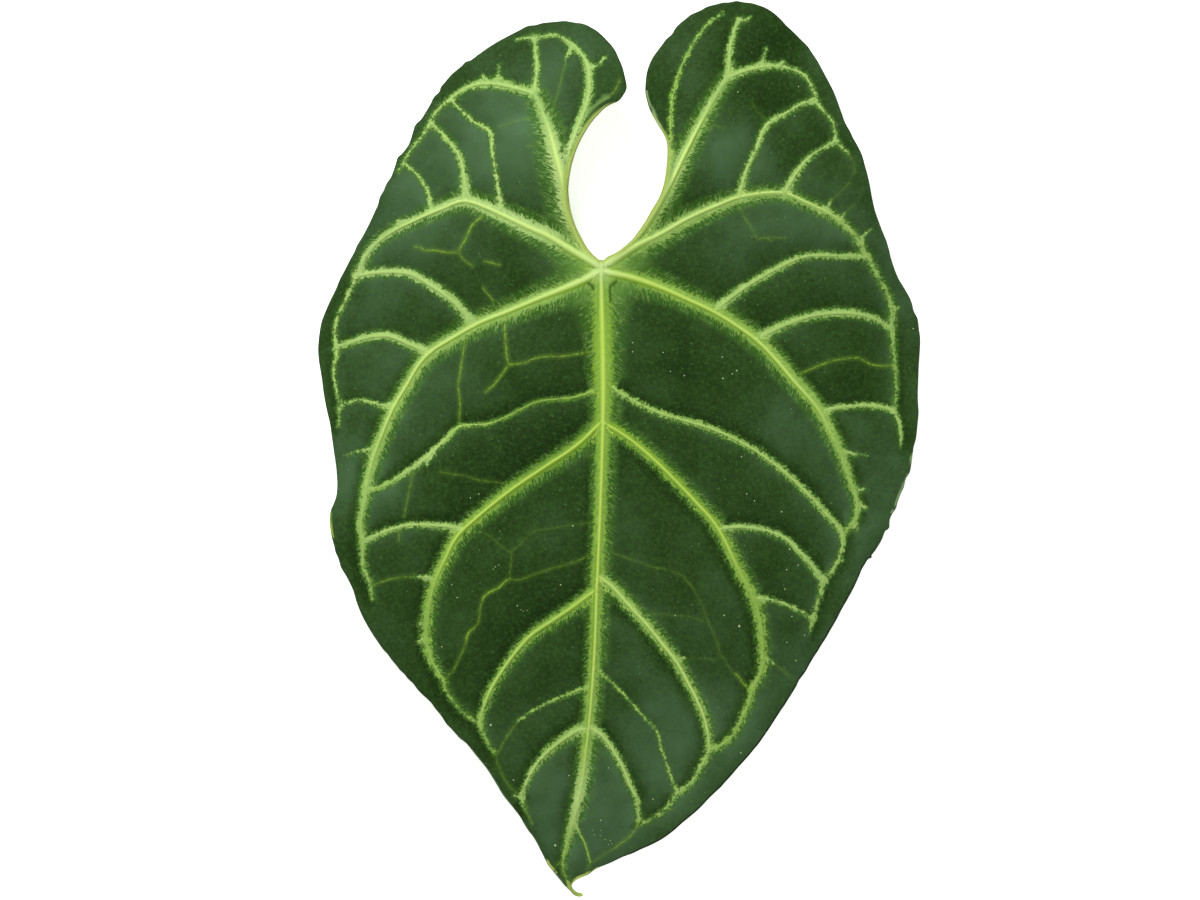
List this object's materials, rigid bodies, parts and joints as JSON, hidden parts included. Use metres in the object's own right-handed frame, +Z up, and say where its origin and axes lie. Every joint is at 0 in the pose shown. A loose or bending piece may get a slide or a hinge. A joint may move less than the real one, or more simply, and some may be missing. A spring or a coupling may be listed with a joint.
{
  "type": "anthurium leaf",
  "caption": "Picked heart-shaped velvet anthurium leaf lying face up, dark blade with a pale raised rib net and a short cut stalk.",
  "frame": {"origin": "centre of the leaf's box, on the surface that it lies on", "axes": "+Z up out of the leaf's upper face, +Y towards the two lobes at the stalk end, -Y towards the drip tip, +X to the right as seen from above"},
  "size_m": [0.2174, 0.3228, 0.0298],
  "materials": {
    "blade": "velvet dark green leaf face with a soft sheen, paler matt underside",
    "ribs": "satin pale yellow-green ribs and stalk"
  },
  "bodies": {
    "root": {"leaf_blade": "blade", "rib_net": "ribs"}
  },
  "joints": []
}
